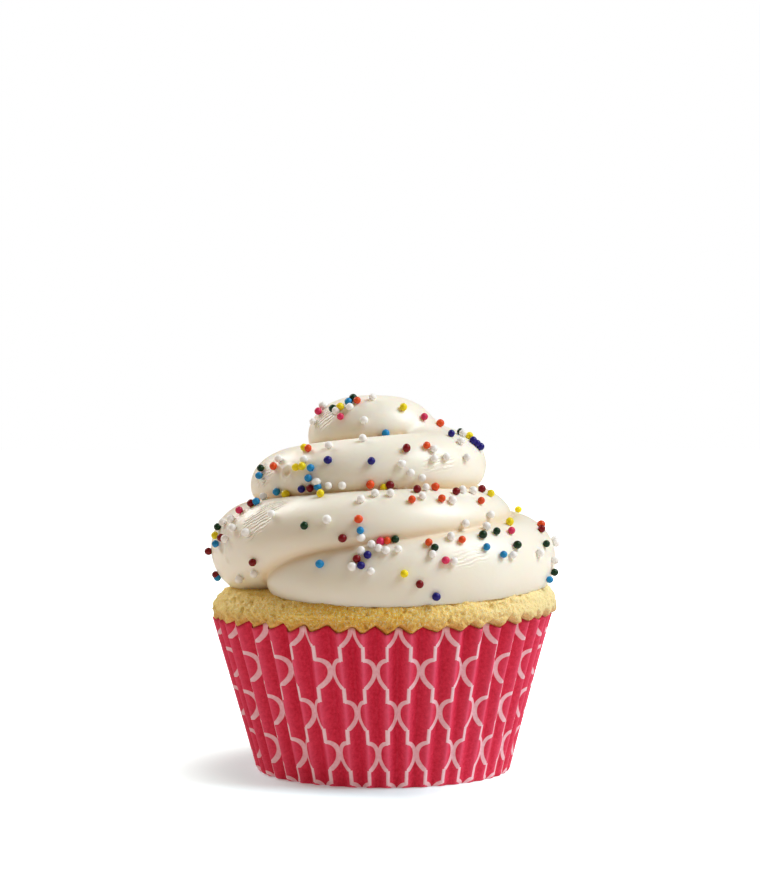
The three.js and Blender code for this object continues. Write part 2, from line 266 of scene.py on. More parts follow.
def surface_nets(field, low, high, step):
    """A quad mesh of the zero surface of field, with its vertices put on that surface."""
    axes = [np.arange(lo, hi + step, step) for lo, hi in zip(low, high)]
    grid = np.meshgrid(*axes, indexing="ij")
    values = field(*grid)
    inside = values < 0
    cells = tuple(n - 1 for n in values.shape)
    corner = [(i, j, k) for i in (0, 1) for j in (0, 1) for k in (0, 1)]
    count = sum(inside[i:i + cells[0], j:j + cells[1], k:k + cells[2]].astype(np.int8) for i, j, k in corner)
    active = (count > 0) & (count < 8)
    at = np.argwhere(active)
    index = np.full(cells, -1, np.int64)
    index[tuple(at.T)] = np.arange(len(at))
    v = np.stack([values[at[:, 0] + i, at[:, 1] + j, at[:, 2] + k] for i, j, k in corner], 1)
    c = np.array(corner, float)
    total, hits = np.zeros((len(at), 3)), np.zeros(len(at))
    for m in range(8):
        for n in range(m + 1, 8):
            if abs(c[m] - c[n]).sum() != 1:
                continue
            cross = (v[:, m] < 0) != (v[:, n] < 0)
            t = v[cross, m] / (v[cross, m] - v[cross, n])
            total[cross] += c[m] + t[:, None] * (c[n] - c[m])
            hits[cross] += 1
    points = (at + total / hits[:, None]) * step + np.array([a[0] for a in axes])
    faces = []
    for axis in range(3):
        sl_a = [slice(None)] * 3
        sl_b = [slice(None)] * 3
        sl_a[axis], sl_b[axis] = slice(None, -1), slice(1, None)
        flip = inside[tuple(sl_a)] != inside[tuple(sl_b)]
        e = np.argwhere(flip)
        o1, o2 = [(1, 2), (2, 0), (0, 1)][axis]
        e = e[(e[:, o1] > 0) & (e[:, o2] > 0) & (e[:, o1] < cells[o1]) & (e[:, o2] < cells[o2])]
        quad = []
        for d1, d2 in ((-1, -1), (0, -1), (0, 0), (-1, 0)):
            q = e.copy()
            q[:, o1] += d1
            q[:, o2] += d2
            quad.append(index[tuple(q.T)])
        quad = np.stack(quad, 1)
        outward = inside[tuple(e.T)]
        faces.append(np.where(outward[:, None], quad, quad[:, ::-1]))
    faces = np.concatenate(faces)

    def project(p, rounds):
        for _ in range(rounds):
            f, g = gradient(field, p)
            p = p - np.clip(f, -0.3, 0.3)[:, None] * g
        return p

    points = project(points, 2)
    for _ in range(2):
        points = project(relaxed(points, faces, 0.5), 1)
    return points, faces


def gradient(field, p, e=0.05):
    f = field(p[:, 0], p[:, 1], p[:, 2])
    g = np.stack([
        field(*(p + np.eye(3)[i] * e).T) - field(*(p - np.eye(3)[i] * e).T) for i in range(3)], 1) / (2 * e)
    size = np.linalg.norm(g, axis=1) + 1e-9
    return f / np.maximum(size, 0.3), g / size[:, None]


def relaxed(points, faces, amount):
    total, count = np.zeros_like(points), np.zeros(len(points))
    for i in range(4):
        a, b = faces[:, i], faces[:, (i + 1) % 4]
        for s, t in ((a, b), (b, a)):
            for k in range(3):
                total[:, k] += np.bincount(s, points[t, k], len(points))
            count += np.bincount(s, minlength=len(points))
    mean = total / np.maximum(count, 1)[:, None]
    return points + (mean - points) * amount


def vertex_normals(points, faces):
    a, b, c, d = (points[faces[:, i]] for i in range(4))
    n = np.cross(c - a, d - b)
    out = np.zeros_like(points)
    for i in range(4):
        for k in range(3):
            out[:, k] += np.bincount(faces[:, i], n[:, k], len(points))
    return out / (np.linalg.norm(out, axis=1)[:, None] + 1e-12)


def make_mesh(name, points, faces, material=None, layers=None):
    """Millimetre points to a smooth mesh object. `faces` is one table of faces or a list of them, and
    `layers` gives each UV layer as one row for each corner of the faces, in order."""
    groups = faces if isinstance(faces, list) else [faces]
    me = bpy.data.meshes.new(name)
    me.vertices.add(len(points))
    me.vertices.foreach_set("co", (np.asarray(points) * MM).astype(np.float32).ravel())
    corners = np.concatenate([g.ravel() for g in groups]).astype(np.int32)
    sizes = np.concatenate([np.full(len(g), g.shape[1]) for g in groups])
    me.loops.add(len(corners))
    me.loops.foreach_set("vertex_index", corners)
    me.polygons.add(len(sizes))
    me.polygons.foreach_set("loop_start", (np.cumsum(sizes) - sizes).astype(np.int32))
    me.polygons.foreach_set("use_smooth", np.ones(len(sizes), bool))
    me.update(calc_edges=True)
    for layer, uv in (layers or {}).items():
        me.uv_layers.new(name=layer).data.foreach_set("uv", uv.astype(np.float32).ravel())
    me.validate()
    ob = bpy.data.objects.new(name, me)
    bpy.context.scene.collection.objects.link(ob)
    if material:
        me.materials.append(material)
    return ob


def ring_faces(rows, columns):
    """Quads between rings of `columns` points, ring i below ring i - 1, facing outwards."""
    i, j = np.meshgrid(np.arange(rows - 1), np.arange(columns), indexing="ij")
    i, j = i.ravel(), j.ravel()
    k = (j + 1) % columns
    return np.stack([i * columns + j, (i + 1) * columns + j, (i + 1) * columns + k, i * columns + k], 1)


def round_points(angle, radius, height):
    q = np.radians(angle)
    angle, radius, height = np.broadcast_arrays(q, radius, height)
    return np.stack([radius * np.sin(q), -radius * np.cos(q), height], -1)


def noise_at(points, scale, seed=0.0, kind="noise"):
    """Smooth noise at millimetre points, one blob about `scale` millimetres."""
    shift = Vector((seed * 7.31, seed * 3.17, seed * 5.53))
    p = points / scale
    return np.array([noise.noise(Vector(q) + shift) for q in p])


# --------------------------------------------------------------- material ---

class Nodes:
    """Short names for building a material's nodes."""

    def __init__(self, name):
        self.m = bpy.data.materials.new(name)
        self.m.use_nodes = True
        self.t = self.m.node_tree
        self.bsdf = self.t.nodes["Principled BSDF"]

    def add(self, kind, **settings):
        n = self.t.nodes.new(kind)
        for k, v in settings.items():
            setattr(n, k, v)
        return n

    def link(self, a, b):
        self.t.links.new(a, b)

    def value(self, x, socket):
        if isinstance(x, (int, float)):
            socket.default_value = x
        else:
            self.link(x, socket)

    def math(self, op, *xs, clamp=False):
        n = self.add("ShaderNodeMath", operation=op)
        n.use_clamp = clamp
        for x, s in zip(xs, n.inputs):
            self.value(x, s)
        return n.outputs[0]

    def mix(self, share, a, b):
        n = self.add("ShaderNodeMix", data_type="RGBA")
        self.value(share, n.inputs[0])
        for x, s in ((a, n.inputs[6]), (b, n.inputs[7])):
            if isinstance(x, tuple):
                s.default_value = (*x, 1.0)
            else:
                self.link(x, s)
        return n.outputs[2]

    def ramp(self, x, low, high):
        n = self.add("ShaderNodeMapRange")
        self.value(x, n.inputs[0])
        n.inputs[1].default_value, n.inputs[2].default_value = low, high
        return n.outputs[0]

    def noise(self, where, scale, detail=2.0, roughness=0.5):
        n = self.add("ShaderNodeTexNoise")
        self.link(where, n.inputs["Vector"])
        n.inputs["Scale"].default_value = scale
        n.inputs["Detail"].default_value = detail
        n.inputs["Roughness"].default_value = roughness
        return n.outputs["Fac"]

    def place(self):
        return self.add("ShaderNodeTexCoord").outputs["Object"]

    def set(self, **inputs):
        names = {"rough": "Roughness", "color": "Base Color", "sss": "Subsurface Weight",
                 "sss_scale": "Subsurface Scale", "coat": "Coat Weight", "coat_rough": "Coat Roughness",
                 "sheen": "Sheen Weight", "specular": "Specular IOR Level"}
        for k, v in inputs.items():
            s = self.bsdf.inputs[names[k]]
            if isinstance(v, tuple):
                s.default_value = (*v, 1.0)
            elif isinstance(v, (int, float)):
                s.default_value = v
            else:
                self.link(v, s)

    def layer(self, name):
        n = self.add("ShaderNodeSeparateXYZ")
        self.link(self.add("ShaderNodeUVMap", uv_map=name).outputs[0], n.inputs[0])
        return n.outputs[0], n.outputs[1]

    def parts(self, vector):
        n = self.add("ShaderNodeSeparateXYZ")
        self.link(vector, n.inputs[0])
        return n.outputs

    def bump(self, height, distance, strength=1.0):
        n = self.add("ShaderNodeBump")
        n.inputs["Strength"].default_value = strength
        n.inputs["Distance"].default_value = distance
        self.link(height, n.inputs["Height"])
        self.link(n.outputs[0], self.bsdf.inputs["Normal"])


# where the tip dragged the surface: middle, the way along the drag, the way across, and reach along and across
DRAGS = [((-25.7, -21.9, 51.5), (0.735, -0.453, 0.505), (-0.093, 0.671, 0.736), 5.6, 3.2, 0.8),
         ((-22.2, -21.2, 55.0), (0.900, -0.111, 0.422), (-0.063, 0.924, 0.378), 5.5, 3.0, 0.65),
         ((-24.3, -10.8, 61.2), (0.534, -0.752, 0.388), (0.068, 0.496, 0.866), 5.0, 3.2, 0.75),
         ((-12.1, -6.2, 72.7), (0.711, -0.438, 0.550), (-0.025, 0.766, 0.643), 4.4, 3.4, 0.65),
         ((16.4, -30.7, 45.7), (0.818, 0.532, 0.218), (-0.389, 0.233, 0.891), 6.0, 2.6, 0.18),
         ((11.0, -19.7, 63.6), (0.798, 0.581, 0.160), (-0.292, 0.142, 0.946), 5.0, 2.2, 0.3)]


def frosting_material():
    """Cream-coloured frosting, smooth and a little glossy, darker and warmer in its creases and pits with painted
    shade, with fine drag marks.
    """
    n = Nodes("frosting_cream")
    m = n.math
    p = n.place()
    broad = n.noise(p, 90, 2)
    color = n.mix(n.ramp(broad, 0.35, 0.7), (0.935, 0.885, 0.765), (0.95, 0.912, 0.81))
    # painted shade: creases and bubble pits darker and warmer orange-brown
    depth, _ = n.layer("crease")
    color = n.mix(m("MULTIPLY", depth, 0.62), color, (0.87, 0.69, 0.44))
    n.set(color=color, sss=0.35, sss_scale=0.005, specular=0.5)
    n.bsdf.inputs["Subsurface Radius"].default_value = (1.0, 0.60, 0.34)
    fine = n.noise(p, 900, 3)
    wobble = n.noise(p, 420, 3)
    marks = None
    for middle, along, across, far, wide, deep in DRAGS:
        at = n.add("ShaderNodeVectorMath", operation="SUBTRACT")
        n.link(p, at.inputs[0])
        at.inputs[1].default_value = tuple(c * MM for c in middle)
        def part(axis, scale):
            d = n.add("ShaderNodeVectorMath", operation="DOT_PRODUCT")
            n.link(at.outputs[0], d.inputs[0])
            d.inputs[1].default_value = tuple(c / (scale * MM) for c in axis)
            return d.outputs["Value"]
        u, v = part(along, far), part(across, wide)
        size = n.add("ShaderNodeVectorMath", operation="LENGTH")
        n.link(at.outputs[0], size.inputs[0])
        away = m("ADD", m("ADD", m("MULTIPLY", u, u), m("MULTIPLY", v, v)),
                 m("POWER", m("DIVIDE", size.outputs["Value"], 1.35 * far * MM), 4.0))
        lines = m("SINE", m("ADD", m("MULTIPLY", v, 2 * math.pi * wide / 0.78), m("MULTIPLY", wobble, 11.0)))
        mark = m("MULTIPLY", n.ramp(away, 1.0, 0.25), m("MULTIPLY", lines, m("MULTIPLY", n.ramp(wobble, 0.36, 0.54), deep)))
        marks = mark if marks is None else m("ADD", marks, mark)
    n.set(rough=m("ADD", 0.30, m("MULTIPLY", fine, 0.16)))
    soft = m("ADD", m("MULTIPLY", fine, 0.30), m("MULTIPLY", n.noise(p, 260, 3), 0.6))
    n.bump(m("ADD", m("MULTIPLY", soft, 0.35), marks), 0.00027, 0.85)
    return n.m


def paper_material():
    """Pink-red paper with a pale trellis: rows of little crossings in the inward folds, whose arms bow out
    to the outward folds and run down them to the next row. The outward folds carry a painted highlight and the inward
    folds painted shade."""
    n = Nodes("case_paper_printed")
    m = n.math
    u, v = n.layer("print")
    row = m("FLOOR", m("DIVIDE", m("ADD", v, PRINT_ARM - PRINT_FIRST), PRINT_ROW))
    t = m("SUBTRACT", m("SUBTRACT", v, PRINT_FIRST), m("MULTIPLY", row, PRINT_ROW))
    du = m("ABSOLUTE", m("SUBTRACT", m("FLOORED_MODULO", m("SUBTRACT", m("ADD", u, 0.5), row), 2.0), 1.0))
    width = m("SUBTRACT", PRINT_PLEAT[0], m("MULTIPLY", v, (PRINT_PLEAT[0] - PRINT_PLEAT[1]) / 30.0))
    waist = m("SUBTRACT", PRINT_WAIST, m("MULTIPLY", row, 0.008))
    reach = m("SUBTRACT", 0.5, waist)

    # the upper arms, quarters of an ellipse about a point on the outward fold
    ex = m("DIVIDE", m("SUBTRACT", du, 0.5), reach)
    ey = m("DIVIDE", t, PRINT_UP)
    f = m("SQRT", m("ADD", m("MULTIPLY", ex, ex), m("MULTIPLY", ey, ey)))
    gx = m("DIVIDE", ex, m("MULTIPLY", reach, width))
    gy = m("DIVIDE", ey, PRINT_UP)
    slope = m("SQRT", m("ADD", m("MULTIPLY", gx, gx), m("MULTIPLY", gy, gy)))
    upper = m("DIVIDE", m("MULTIPLY", m("ABSOLUTE", m("SUBTRACT", f, 1.0)), f), m("MAXIMUM", slope, 0.001))
    upper = m("ADD", upper, m("MULTIPLY", m("GREATER_THAN", t, 0.0), 50.0))

    # the lower arms, which open more and more as they run down
    fall = m("DIVIDE", m("MAXIMUM", t, 0.0), PRINT_DOWN)
    aim = m("ADD", waist, m("MULTIPLY", reach, m("POWER", fall, 2.1)))
    steep = m("DIVIDE", m("MULTIPLY", m("MULTIPLY", reach, width), m("MULTIPLY", m("POWER", fall, 1.1), 2.1)),
              PRINT_DOWN)
    across = m("MULTIPLY", m("ABSOLUTE", m("SUBTRACT", du, aim)), width)
    lower = m("DIVIDE", across, m("SQRT", m("ADD", m("MULTIPLY", steep, steep), 1.0)))
    lower = m("ADD", lower, m("MULTIPLY", m("MAXIMUM", m("LESS_THAN", t, 0.0), m("GREATER_THAN", t, PRINT_DOWN)), 50.0))
    arms = m("ADD", m("MINIMUM", upper, lower), m("MULTIPLY", m("GREATER_THAN", du, 0.505), 50.0))

    # the bars along the outward folds, which slip behind them towards the sides
    turn = m("SUBTRACT", m("FLOORED_MODULO", m("ADD", u, PLEATS / 2), PLEATS), PLEATS / 2)
    slip = m("SUBTRACT", m("MULTIPLY", n.ramp(turn, -3.0, -6.0), n.ramp(turn, -20.0, -16.0)),
             m("MULTIPLY", n.ramp(turn, 3.0, 6.0), n.ramp(turn, 20.0, 16.0)))
    slipped = m("ADD", u, m("MULTIPLY", slip, PRINT_SLIP))
    db = m("ABSOLUTE", m("SUBTRACT", m("FLOORED_MODULO", m("SUBTRACT", m("ADD", slipped, 0.5), row), 2.0), 1.0))
    bar = m("MULTIPLY", m("ABSOLUTE", m("SUBTRACT", db, 0.5)), width)
    between = m("MAXIMUM", m("GREATER_THAN", t, PRINT_DOWN - 0.25), m("LESS_THAN", t, 0.25 - PRINT_UP))
    bar = m("ADD", bar, m("MULTIPLY", m("SUBTRACT", 1.0, between), 50.0))
    line = m("MAXIMUM", n.ramp(arms, PRINT_LINE + 0.06, PRINT_LINE - 0.06), n.ramp(bar, PRINT_BAR + 0.06, PRINT_BAR - 0.06))

    p = n.place()
    fibre = n.noise(p, 1500, 3, 0.7)
    cloud = n.noise(p, 160, 2)
    fold = m("ABSOLUTE", m("SUBTRACT", m("FRACT", u), 0.5))        # 0 on an inward fold, 0.5 on an outward one
    # painted highlight along the outward folds, on the red and on the pale print
    crest_highlight = m("POWER", m("MULTIPLY", fold, 2.0), 3.0)
    red = n.mix(n.ramp(fibre, 0.3, 0.75), (0.62, 0.013, 0.050), (0.87, 0.050, 0.122))
    red = n.mix(m("MULTIPLY", crest_highlight, 0.6), red, (1.0, 0.15, 0.29))
    # painted shade in the inward folds: the red darker
    valley_shade = m("POWER", m("SUBTRACT", 1.0, m("MULTIPLY", fold, 2.0)), 3.0)
    red = n.mix(m("MULTIPLY", valley_shade, 0.2), red, (0.46, 0.004, 0.024))
    pale = n.mix(n.ramp(fibre, 0.3, 0.7), (0.90, 0.50, 0.60), (1.0, 0.72, 0.80))
    pale = n.mix(m("MULTIPLY", crest_highlight, 0.6), pale, (1.0, 0.86, 0.95))
    n.set(color=n.mix(m("MULTIPLY", line, 0.96), red, pale), specular=0.16)
    n.set(rough=m("ADD", 0.52, m("MULTIPLY", cloud, 0.18)))
    n.bump(m("ADD", m("MULTIPLY", fibre, 0.4), cloud), 0.00008, 0.5)
    return n.m


def sponge_material():
    """Golden crumb: pale grains and darker hollows between them, pale specks that are partly painted glints,
    browner where it meets the paper, partly toasted and partly painted shade, and paler on both sides with
    painted light."""
    n = Nodes("sponge_crumb")
    p = n.place()
    x, y, z = n.parts(p)
    grain = n.noise(p, 1700, 4, 0.75)
    patch = n.noise(p, 260, 3, 0.6)
    color = n.mix(n.ramp(grain, 0.31, 0.60), (1.0, 0.43, 0.016), (1.0, 0.715, 0.125))
    color = n.mix(n.math("MULTIPLY", n.ramp(patch, 0.42, 0.72), 0.5), color, (0.98, 0.72, 0.19))
    # pale specks: partly pale crumbs, partly painted glints for the sparkling highlights
    color = n.mix(n.ramp(n.noise(p, 3300, 2, 0.6), 0.53, 0.63), color, (1.0, 0.92, 0.54))
    # painted light: the crumb is paler towards the right side and towards the left side
    color = n.mix(n.math("MULTIPLY", n.ramp(x, 0.002, 0.034), 0.72), color, (0.97, 0.88, 0.53))
    color = n.mix(n.math("MULTIPLY", n.ramp(x, -0.010, -0.032), 0.6), color, (1.0, 0.84, 0.33))
    # browner low down near the paper's rim: partly toasted crust, partly painted shade
    toast_and_shade = n.math("MULTIPLY", n.ramp(z, 0.0342, 0.0316), n.ramp(patch, 0.2, 0.6))
    color = n.mix(n.math("MULTIPLY", toast_and_shade, 0.8), color, (0.60, 0.215, 0.014))
    n.set(color=color, sss=0.12, sss_scale=0.0012, specular=0.22)
    n.bsdf.inputs["Subsurface Radius"].default_value = (1.0, 0.55, 0.2)
    n.set(rough=n.ramp(grain, 0.15, 0.95))
    n.bump(n.math("ADD", grain, n.noise(p, 3200, 2)), 0.00032, 0.85)
    return n.m


def sprinkle_material(name, color):
    n = Nodes("sugar_" + name)
    p = n.place()
    tone = n.noise(p, 420, 2)
    dark = tuple(c * 0.86 for c in color)
    n.set(color=n.mix(n.ramp(tone, 0.35, 0.65), dark, color), specular=0.3)
    if name == "white":
        n.set(sss=0.6, sss_scale=0.0009)
        n.bsdf.inputs["Subsurface Radius"].default_value = (1.0, 1.0, 1.0)
    n.set(rough=n.math("ADD", 0.27, n.math("MULTIPLY", n.noise(p, 2600, 2), 0.2)))
    n.bump(n.noise(p, 3200, 2), 0.00003, 0.35)
    return n.m


# -------------------------------------------------------------- paper case ---

def folds(steps):
    """Round the case with `steps` columns to each half pleat: the angle of each column, its wave from 1 on an
    outward fold to -1 on an inward one, its place counted in pleats, and how uneven its fold is."""
    rng = np.random.default_rng(7)
    count = 2 * PLEATS
    h = np.arange(count + 1)
    turn = ((h / 2 + PLEATS / 2) % PLEATS) - PLEATS / 2
    shift = np.interp(turn, *zip(*FOLD_SHIFT)) + rng.normal(0, 0.16, count + 1)
    size = 1 + rng.uniform(-0.15, 0.15, count + 1)
    lift = rng.uniform(-0.22, 0.22, count + 1)
    for a in (shift, size, lift):
        a[-1] = a[0]
    angle = PLEAT_START + h * 180.0 / PLEATS + shift
    part = np.arange(steps) / steps
    c = np.cos(np.pi * part)
    wave = np.where(c > 0, np.arcsin(FOLD_SHARP[0] * c) / np.arcsin(FOLD_SHARP[0]),
                    np.arcsin(FOLD_SHARP[1] * c) / np.arcsin(FOLD_SHARP[1]))
    sign = np.where(h[:-1] % 2 == 0, 1, -1)[:, None]
    near, far = size[:-1, None], size[1:, None]
    out = sign * np.where(wave > 0, wave * near, wave * far)
    def run(a):
        return (a[:-1, None] + (a[1:] - a[:-1])[:, None] * part).ravel()
    return run(angle), out.ravel(), run(h / 2), run(lift)


def rim_height(angle, wave, lift):
    side = np.sin(np.radians(angle))
    tilt = np.where(side > 0, CASE_TILT[1] * side ** 2, CASE_TILT[0] * side ** 2)
    return CASE_RIM_HEIGHT + CASE_RIM_RISE * (1 - np.clip(wave, -1, 1)) / 2 + lift + tilt


def wall(share, angle):
    """Mean radius and pleat depth of the case, from 0 at its foot to 1 at its rim."""
    eased = PLEAT_EASE * smoothstep(12, 36, angle) * smoothstep(150, 110, angle) * np.clip(1 - share, 0, 1) ** 0.7
    return (CASE_FOOT_RADIUS + (CASE_RIM_RADIUS - CASE_FOOT_RADIUS) * share,
            (PLEAT_DEPTH_FOOT + (PLEAT_DEPTH_RIM - PLEAT_DEPTH_FOOT) * share) * (1 - eased))


def paper_case():
    steps, up, foot = 8, 44, 5
    angle, wave, place, lift = folds(steps)
    columns = len(angle)
    rim = rim_height(angle, wave, lift)
    outer = []
    for share in np.linspace(1, 0, up):
        mean, depth = wall(share, angle)
        z = CASE_FOOT_HEIGHT + (rim - CASE_FOOT_HEIGHT) * share
        sway = 0.12 * np.sin(place * 2.4 + share * 5.0) * (1 - share) * share * 4
        ring = round_points(angle + sway * 2, mean + depth * wave + 0.10 * sway, z)
        ring[:, 0] += CASE_LEAN * share
        outer.append(ring)
    for a in np.radians(np.linspace(0, 90, foot + 1))[1:]:
        depth = wall(0.0, angle)[1]
        depth = depth + (PLEAT_DEPTH_BASE - depth) * (1 - math.cos(a))
        mean = CASE_FOOT_RADIUS - (CASE_FOOT_RADIUS - CASE_BASE_RADIUS) * (1 - math.cos(a))
        outer.append(round_points(angle, mean + depth * wave, CASE_FOOT_HEIGHT * (1 - math.sin(a))))
    walls = len(outer)
    base = [round_points(angle, r, 0.0) for r in (24.2, 16.0, 6.0)]
    inside_base = [round_points(angle, r, PAPER) for r in (6.0, 16.0, 24.0)]
    inner = []
    for ring in reversed(outer):
        r = np.hypot(ring[:, 0], ring[:, 1])
        pulled = ring * ((r - PAPER * 1.35) / r)[:, None]
        pulled[:, 2] = np.maximum(ring[:, 2], PAPER)
        inner.append(pulled)
    rings = outer + base + inside_base + inner
    points = np.concatenate(rings + [np.array([[0, 0, 0.0], [0, 0, PAPER]])])
    total = len(rings)
    quads = ring_faces(total, columns)
    poles = walls + 2                       # the ring before the two middles
    row = np.repeat(np.arange(total - 1), columns)
    keep = row != poles
    quads, row = quads[keep], row[keep]
    col = np.tile(np.arange(columns), total - 1)[keep]
    j = np.arange(columns)
    k = (j + 1) % columns
    under, over = len(points) - 2, len(points) - 1
    fan_a = np.stack([poles * columns + j, np.full(columns, under), poles * columns + k], 1)
    fan_b = np.stack([np.full(columns, over), (poles + 1) * columns + j, (poles + 1) * columns + k], 1)
    lip = np.stack([(total - 1) * columns + j, j, k, (total - 1) * columns + k], 1)

    # the layer that carries the print: pleats round, millimetres down
    next_place = np.append(place[1:], place[-1] + place[1] - place[0])
    def printed(faces, cols, first):
        u = np.stack([np.where(f, next_place[cols], place[cols]) for f in first], 1)
        return np.stack([u, (CASE_RIM_HEIGHT - points[faces][..., 2]) * 1.035], -1).reshape(-1, 2)
    side = (False, False, True, True)
    one_print = np.concatenate([printed(quads, col, side), printed(fan_a, j, (False, False, True)),
                                printed(fan_b, j, (False, False, True)), printed(lip, j, side)])

    # the layer for baking: the outside in three strips, then the base and the inside
    reach = np.concatenate([np.linspace(1, 0.06, up), np.linspace(0.06, 0, foot + 1)[1:]])
    cuts = [0, 256, 496, columns]
    def flat(rows_of, cols_of, points_of, face_row):
        """UV for corners, each given by its ring, its column (not wrapped) and its point."""
        uv = np.zeros(rows_of.shape + (2,))
        out_wall = (face_row < walls - 1)[:, None] & np.ones(rows_of.shape, bool)
        first = cols_of.min(axis=1)
        strip = np.searchsorted(cuts, first, side="right") - 1
        lo, hi = np.take(cuts, strip), np.take(cuts, strip + 1)
        su = 0.004 + (cols_of - lo[:, None]) / (hi - lo)[:, None] * 0.992
        sv = 0.004 + strip[:, None] * 0.262 + reach[np.clip(rows_of, 0, walls - 1)] * 0.254
        uv[out_wall] = np.stack([su, sv], -1)[out_wall]
        lower = ((face_row >= walls - 1) & (face_row <= poles))[:, None] & ~out_wall
        upper = ((face_row > poles) & (face_row <= poles + 3))[:, None] & ~out_wall
        xy = points_of[..., :2] / 27.0 * 0.095
        uv[lower] = (xy + np.array([0.10, 0.895]))[lower]
        uv[upper] = (xy + np.array([0.30, 0.895]))[upper]
        rest = ~(out_wall | lower | upper)
        iu = 0.42 + cols_of / columns * 0.57
        iv = 0.80 + (rows_of - (total - walls)) / walls * 0.19
        uv[rest] = np.stack([iu, iv], -1)[rest]
        return uv.reshape(-1, 2)
    quad_rows = np.stack([row, row + 1, row + 1, row], 1)
    quad_cols = np.stack([col, col, col + 1, col + 1], 1)
    tri_cols = np.stack([j, j, j + 1], 1)
    one_bake = np.concatenate([
        flat(quad_rows, quad_cols, points[quads], row),
        flat(np.full(fan_a.shape, poles), tri_cols, points[fan_a], np.full(columns, poles)),
        flat(np.full(fan_b.shape, poles + 1), tri_cols, points[fan_b], np.full(columns, poles + 1)),
        flat(np.stack([np.full(columns, total - 1), np.full(columns, total), np.full(columns, total),
                       np.full(columns, total - 1)], 1), np.stack([j, j, j + 1, j + 1], 1),
             points[lip], np.full(columns, total)),
    ])
    return make_mesh("case_paper_cup", points, [quads, fan_a, fan_b, lip], paper_material(),
                     {"OFBake": one_bake, "print": one_print})


case = paper_case()
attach(case, "root")
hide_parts("paper_case")


# ------------------------------------------------------------------ sponge ---

def sponge():
    """The cake: it fills the case, bulges over the rim and is rough with open crumb where it shows."""
    angle, wave, place, lift = folds(13)
    rim = rim_height(angle, wave, lift)
    profile = [(CROWN_SIDE, 30.4), (CROWN_SIDE, 34.8)] + CROWN[1:4] + [(29.0, 38.75)]
    fine = []
    for (r0, z0), (r1, z1) in zip(profile, profile[1:]):
        many = max(2, int(math.hypot(r1 - r0, z1 - z0) / CRUMB_STEP))
        fine += [(r0 + (r1 - r0) * i / many, z0 + (z1 - z0) * i / many) for i in range(many)]
    lean = (CROWN_LEAN[0] * np.sin(np.radians(angle)) - CROWN_LEAN[1] * np.cos(np.radians(angle)))
    rows = []
    for r in (10.0, 20.0, 25.0):
        rows.append(round_points(angle, r, crown_mean(r) + lean * r / 35))
    shown = []
    for r, z in reversed(fine):
        upright = np.clip((z - 33.0) / 3.2, 0, 1)
        ring = round_points(angle, r, z + lean * upright * r / 35)
        shown.append(ring)
    block = np.array(shown)                                   # rows, columns, 3
    flat_r = np.hypot(block[..., 0], block[..., 1])
    along = np.gradient(np.stack([flat_r, block[..., 2]], -1), axis=0)
    length = np.hypot(along[..., 0], along[..., 1]) + 1e-9
    nr, nz = -along[..., 1] / length, along[..., 0] / length
    pts = block.reshape(-1, 3)
    lumps = noise_at(pts, 6.5, 1.0) * 0.55 + noise_at(pts, 2.4, 2.0) * 0.22
    crumb = noise_at(pts, 0.95, 3.0) * 0.26 + noise_at(pts, 0.5, 4.0) * 0.20
    hole = noise_at(pts, 1.3, 5.0)
    rough = lumps + crumb - np.clip(hole - 0.34, 0, 0.4) * 1.6
    rough = rough.reshape(flat_r.shape)
    dr, dz = nr * rough, nz * rough
    # below the rim the crumb is pressed into the pleats
    share = (block[..., 2] - CASE_FOOT_HEIGHT) / (rim - CASE_FOOT_HEIGHT)
    mean, depth = wall(np.minimum(share, 1.03), angle)
    pressed = mean + depth * wave - 0.42
    above = smoothstep(-0.05, 0.75, block[..., 2] - rim + rough * 0.4)
    radius = pressed + (flat_r + dr - pressed) * above
    q = np.radians(angle)
    block[..., 0], block[..., 1] = radius * np.sin(q), -radius * np.cos(q)
    block[..., 0] += CASE_LEAN * share * (1 - above)
    block[..., 2] += dz * above
    rows += list(block)
    for z in (29.4, 22.0, 12.0, 3.0, 1.5):
        share = np.maximum(0.0, (z - CASE_FOOT_HEIGHT) / (rim - CASE_FOOT_HEIGHT))
        mean, depth = wall(share, angle)
        ring = round_points(angle, mean + depth * wave - 0.5, z)
        ring[:, 0] += CASE_LEAN * share
        rows.append(ring)
    rows.append(round_points(angle, 24.0, 0.5))
    columns = len(angle)
    points = np.concatenate(rows + [np.array([[0, 0, crown_mean(0.0)], [0, 0, 0.5]])])
    j = np.arange(columns)
    k = (j + 1) % columns
    last = (len(rows) - 1) * columns
    top = np.stack([np.full(columns, len(points) - 2), j, k], 1)
    bottom = np.stack([last + j, np.full(columns, len(points) - 1), last + k], 1)
    return make_mesh("sponge_crumb", points, [ring_faces(len(rows), columns), top, bottom], sponge_material())


cake = sponge()
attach(cake, "root")
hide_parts("sponge")


# --------------------------------------------------------------- frosting ---

points, faces = surface_nets(frosting_field, (-37.2, -37.2, 34.0), (37.2, 37.2, 79.6), 0.45)
# the painted shade in the creases and pits, kept in the crease layer for the frosting's colour
deep = frosting_field(*points.T, creases=True)
frosting = make_mesh("frosting_swirl", points, faces, frosting_material(),
                     {"crease": np.stack([deep, deep * 0], 1)[faces.ravel()]})
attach(frosting, "root")
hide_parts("frosting")
print("frosting", len(points), len(faces))


# --------------------------------------------------------------- sprinkles ---

def settled(at):
    """Move the middles of balls so that each one rests on the frosting, sunk in a little."""
    for _ in range(4):
        f, g = gradient(frosting_field, at)
        at = at - np.clip(f - (SPRINKLE_RADIUS - SPRINKLE_SUNK), -0.6, 0.6)[:, None] * g
    return at


